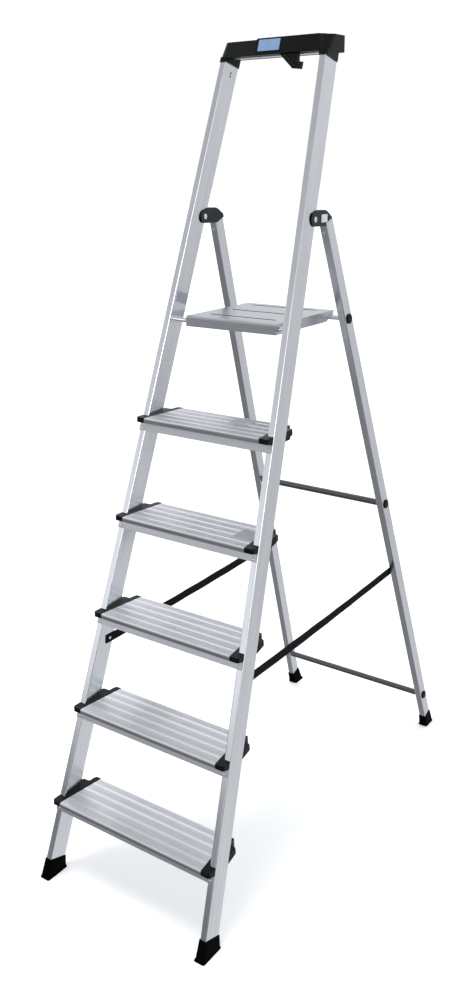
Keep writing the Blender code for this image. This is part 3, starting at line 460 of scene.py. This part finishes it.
def turned(steps, centre, outward, count=20):
    """Points and faces of a shape turned about an axis, from (height, radius) steps, closed at both ends."""
    turn = outward.to_track_quat("Z", "Y")
    points, faces = [], []
    for up, radius in steps:
        for k in range(count):
            angle = 2 * pi * k / count
            points.append(centre + turn @ Vector((radius * cos(angle), radius * sin(angle), up)))
    for j in range(len(steps) - 1):
        for k in range(count):
            a, b = j * count + k, j * count + (k + 1) % count
            faces.append((a, b, b + count, a + count))
    faces.append(tuple(reversed(range(count))))
    last = (len(steps) - 1) * count
    faces.append(tuple(range(last, last + count)))
    return points, faces


TREAD_RIVET_DROP = 0.0304
TREAD_RIVET_IN = 0.0106
SKIRT_OUT = 0.0030
FRONT_OUT = Vector((0, -COS_F, SIN_F))
RIVET_STEPS = ((0, 0.0033), (0.0004, 0.0034), (0.0009, 0.0028), (0.0012, 0.0018), (0.0013, 0.0006))


def add_tread_rivets():
    """A domed rivet at each end of each tread's front skirt, into the stile."""
    for number in range(1, TREADS + 1):
        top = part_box(f"tread_{number}")[1].z
        z = top - TREAD_RIVET_DROP
        for label, side in SIDES:
            s = z / COS_F
            x = side * (stile_x(s) - TREAD_RIVET_IN)
            centre = Vector((x, FRONT_Y + z * TAN_F, z)) + FRONT_OUT * SKIRT_OUT
            points, faces = turned(RIVET_STEPS, centre, FRONT_OUT)
            rivet = add_mesh(f"tread_rivet_{label}_{number}", points, faces, STEEL)
            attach(rivet, "front_frame")


STICKER_THICK = 0.00015
STICKER_GAP = 0.00005  # over the surface
STICKER_GRID = 6  # cells a side
CAST_FROM = 0.02
CAST_REACH = 0.06


def add_sticker(name, carrier, body, middle, right, up, size, material):
    """A thin plain plate laid on a piece's surface. It is cast on from outside, so it follows it."""
    skin = nodes[carrier].data
    placed = nodes[carrier].matrix_world
    tree = BVHTree.FromPolygons([placed @ v.co for v in skin.vertices],
                                [tuple(f.vertices) for f in skin.polygons])
    out = right.cross(up).normalized()
    rings = []
    for lift in (STICKER_GAP, STICKER_GAP + STICKER_THICK):
        ring = []
        for j in range(STICKER_GRID + 1):
            for k in range(STICKER_GRID + 1):
                across = (k / STICKER_GRID - 0.5) * size[0]
                above = (j / STICKER_GRID - 0.5) * size[1]
                start = middle + right.normalized() * across + up.normalized() * above
                found = tree.ray_cast(start + out * CAST_FROM, -out, CAST_REACH)[0]
                ring.append((found if found else start) + out * lift)
        rings.append(ring)
    span = STICKER_GRID + 1
    under, over, faces = 0, len(rings[0]), []
    for j in range(STICKER_GRID):
        for k in range(STICKER_GRID):
            a = j * span + k
            for base in (under, over):
                faces.append((base + a, base + a + 1, base + a + span + 1, base + a + span))
    rim = list(range(span)) + [j * span + STICKER_GRID for j in range(1, span)]
    rim += [STICKER_GRID * span + k for k in reversed(range(STICKER_GRID))]
    rim += [j * span for j in reversed(range(1, STICKER_GRID))]
    for a, b in zip(rim, rim[1:] + rim[:1]):
        faces.append((under + a, under + b, over + b, over + a))
    sticker = add_mesh(name, rings[0] + rings[1], faces, material, smooth=False)
    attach(sticker, body)


# Sizes are width, height.
CAP_STICKER = (0.027, 0.018)
CAP_STICKER_AT = (0.0126, 0.039)  # down the leg from the hinge axis, behind it
STILE_STICKER = (0.040, 0.026)
STILE_STICKER_AT = (1.520, 0.030)  # up the stile, behind its front face
TREAD_PATCH = (0.055, 0.065)
TREAD_PATCHES = ((5, 0.058, -0.178), (4, 0.146, -0.271))  # tread, x, y


def add_stickers():
    """The plain plates on the right hinge cap, the left stile and two treads."""
    r, q = CAP_STICKER_AT
    middle = rear_point(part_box("hinge_cap_right")[1].x, r, q)
    add_sticker("hinge_cap_sticker", "hinge_cap_right", "rear_frame", middle, Vector((0, 1, 0)),
                Vector((0, 0, 1)), CAP_STICKER, PALE)
    s, t = STILE_STICKER_AT
    rise = Vector((STILE_TAPER, SIN_F, COS_F))
    inward = Vector((0, COS_F, -SIN_F))
    middle = front_point(-(stile_x(s) - STILE_WIDTH), s, t)
    add_sticker("stile_sticker", "stile_left", "front_frame", middle, inward, rise,
                STILE_STICKER, FADED)
    for number, x, y in TREAD_PATCHES:
        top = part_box(f"tread_{number}")[1].z
        add_sticker(f"tread_patch_{number}", f"tread_{number}", "front_frame", Vector((x, y, top)),
                    Vector((1, 0, 0)), Vector((0, 1, 0)), TREAD_PATCH, GREY)


HOOK_SLANT = (0.034, -0.032)  # its lower left edge
HOOK_RIBS = ((0.0, 0.0024), (0.0066, 0.0090))  # inward from that edge: start, end
RIB_PROUD = 0.0014
RIB_SUNK = 0.0004
RIB_TOP_GAP = 0.0006  # below the hook's top
RIB_TAIL = (0.0012, 0.1)  # past the slant's lower end, and the share of its offset added to that


def add_hook_ribs():
    """Two stiffening ribs on the hook's front, along its slanted edge, whose ends stand out below."""
    low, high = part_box("bucket_hook")
    slant = Vector((HOOK_SLANT[0], 0, HOOK_SLANT[1]))
    inward = Vector((-slant.z, 0, slant.x)).normalized()
    run = slant.normalized()
    for number, (near, far) in enumerate(HOOK_RIBS, 1):
        corners = []
        for start in (near, far):
            head = Vector((low.x, 0, high.z)) + inward * start
            drop = (head.z - high.z + RIB_TOP_GAP) / -run.z
            tail = slant.length + RIB_TAIL[0] + start * RIB_TAIL[1]
            corners.append((head + run * max(drop, RIB_TOP_GAP), head + run * tail))
        (a, b), (d, c) = corners
        outline = [a, b, c, d]
        back, front = low.y + RIB_SUNK, low.y - RIB_PROUD
        points = [Vector((p.x, y, p.z)) for y in (back, front) for p in outline]
        faces = [(3, 2, 1, 0), (4, 5, 6, 7)]
        faces += [(k, (k + 1) % 4, 4 + (k + 1) % 4, 4 + k) for k in range(4)]
        rib = add_mesh(f"hook_rib_{number}", points, faces, CAP_BLACK, smooth=False)
        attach(rib, "front_frame")


STILE_PINS = ((2.0662, 0.0285), (2.0585, 0.0285))  # up the stile, behind its front face
PIN_STEPS = ((0, 0.0022), (0.0005, 0.0021), (0.0008, 0.0012))
PIN_GAP = 0.0001
PIN_SIDES = 14


def add_stile_pins():
    """Two small dark pins on each stile's inner face, near its top."""
    for label, side in SIDES:
        for number, (s, t) in enumerate(STILE_PINS, 1):
            out = Vector((-side, 0, 0))
            centre = front_point(side * (stile_x(s) - STILE_WIDTH - PIN_GAP), s, t)
            points, faces = turned(PIN_STEPS, centre, out, PIN_SIDES)
            pin = add_mesh(f"tray_pin_{label}_{number}", points, faces, BLACK)
            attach(pin, "front_frame")


STRAP_FLAT = (0.024, 0.806)
STRAP_THICK = 0.0015
STRAP_GAP = 0.0003  # off the stile and the leg
STRAP_RIBS = 8  # cords across its width
STRAP_STEPS = 96
STRAP_FRONT = 0.025  # front end, behind the stile's front face
STRAP_BACK = 0.007  # rear end, ahead of the leg's rear face
CORD_DEPTH = 0.38  # share of the thickness
SELVEDGE = (6, 0.12, 0.35)  # how late the edges thin, least share left, softness
STRAP_SLACK = 0.0035
STRAP_RIPPLE = (0.0004, 40)  # depth, waves in radians along the strap
STRAP_TWIST = 0.05
WEFT = 0.10  # every second row thicker by this share


def strap_line(side):
    """Middle line of a strap, from the stile's inner face to the rear leg's."""
    front, rear = (sum(corner.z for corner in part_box(f"strap_rivet_{end}_left")) / 2
                   for end in ("front", "rear"))
    lift = STRAP_GAP + STRAP_THICK / 2

    def on_stile(t):
        s = (front + t * SIN_F) / COS_F
        return front_point(side * (stile_x(s) - STILE_WIDTH - lift), s, t)

    def on_leg(q):
        r = (PIVOT.z + q * SIN_R - rear) / COS_R
        return rear_point(side * (leg_x(r) - LEG_WIDTH - lift), r, q)

    return [on_stile(STRAP_FRONT), on_stile(STILE_DEPTH),
            on_leg(LEG_SET), on_leg(LEG_SET + LEG_DEPTH - STRAP_BACK)]


def along(line, share):
    """Point at a share of a polyline's length."""
    spans = [(b - a).length for a, b in zip(line, line[1:])]
    rest = share * sum(spans)
    for k, span in enumerate(spans):
        if rest <= span or k == len(spans) - 1:
            return line[k].lerp(line[k + 1], rest / span)
        rest -= span


def add_strap(label, side):
    """Flat woven webbing: lengthwise cords across its width, thinned edges and a slight slack."""
    line = strap_line(side)
    half_turn = STRAP_RIBS * 4
    profile = []
    for face in (1, -1):
        for k in range(half_turn + 1):
            u = -1 + 2 * k / half_turn
            if face < 0:
                u = -u
            cord = abs(sin(pi * STRAP_RIBS * (u + 1) / 2))
            edge = 1 - u ** SELVEDGE[0]
            thin = max(edge, SELVEDGE[1]) ** SELVEDGE[2]
            thick = STRAP_THICK / 2 * (1 - CORD_DEPTH + CORD_DEPTH * cord) * thin
            profile.append((u * STRAP_FLAT[0] / 2, face * thick))
    points, faces = [], []
    count = len(profile)
    for j in range(STRAP_STEPS + 1):
        share = j / STRAP_STEPS
        middle = along(line, share)
        belly = sin(pi * share)
        slack = STRAP_SLACK * belly + STRAP_RIPPLE[0] * sin(STRAP_RIPPLE[1] * share) * belly
        twist = STRAP_TWIST * sin(2 * pi * share) * belly
        across = Vector((sin(twist) * -side, 0, cos(twist)))
        out = Vector((-side * cos(twist), 0, -sin(twist)))
        weft = 1 + WEFT * (j % 2)
        points += [middle + across * u + out * v * weft - Vector((0, 0, slack)) for u, v in profile]
    for j in range(STRAP_STEPS):
        for k in range(count):
            a, b = j * count + k, j * count + (k + 1) % count
            faces.append((a, b, b + count, a + count))
    faces += [tuple(range(count)), tuple(range(STRAP_STEPS * count, (STRAP_STEPS + 1) * count))]
    strap = add_mesh(f"webbing_{label}", points, faces, WEBBING)
    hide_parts(f"strap_{label}")
    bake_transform(strap)


FLOOR_REACH = 60
FLOOR_GLOW = 0.30


def add_floor():
    """A pale floor far past the view, which glows a little so that it meets the backdrop unseen."""
    points = [(x * FLOOR_REACH, y * FLOOR_REACH, 0) for x, y in ((-1, -1), (1, -1), (1, 1), (-1, 1))]
    made = Finish("pale_floor", (0.86, 0.865, 0.875), 0.0, 0.9)
    clouds = made.noise(made.place((1, 1, 1)), 2.0, 2.0)
    made.tint(clouds, (0.87, 0.875, 0.885), (0.90, 0.905, 0.915))
    made.set(made.shader, "Emission Color", (0.985, 0.99, 1.0, 1))
    made.set(made.shader, "Emission Strength", FLOOR_GLOW)
    made.set(made.shader, "Specular IOR Level", 0.0)
    floor = add_mesh("floor", points, [(0, 1, 2, 3)], made.material)
    floor.visible_glossy = False


add_camera()
add_room()
add_sun()
add_floor()
dress_cad()
add_tread_rivets()
add_hook_ribs()
add_stile_pins()
add_stickers()
for label, side in SIDES:
    add_strap(label, side)

bpy.context.scene.view_settings.view_transform = "Standard"
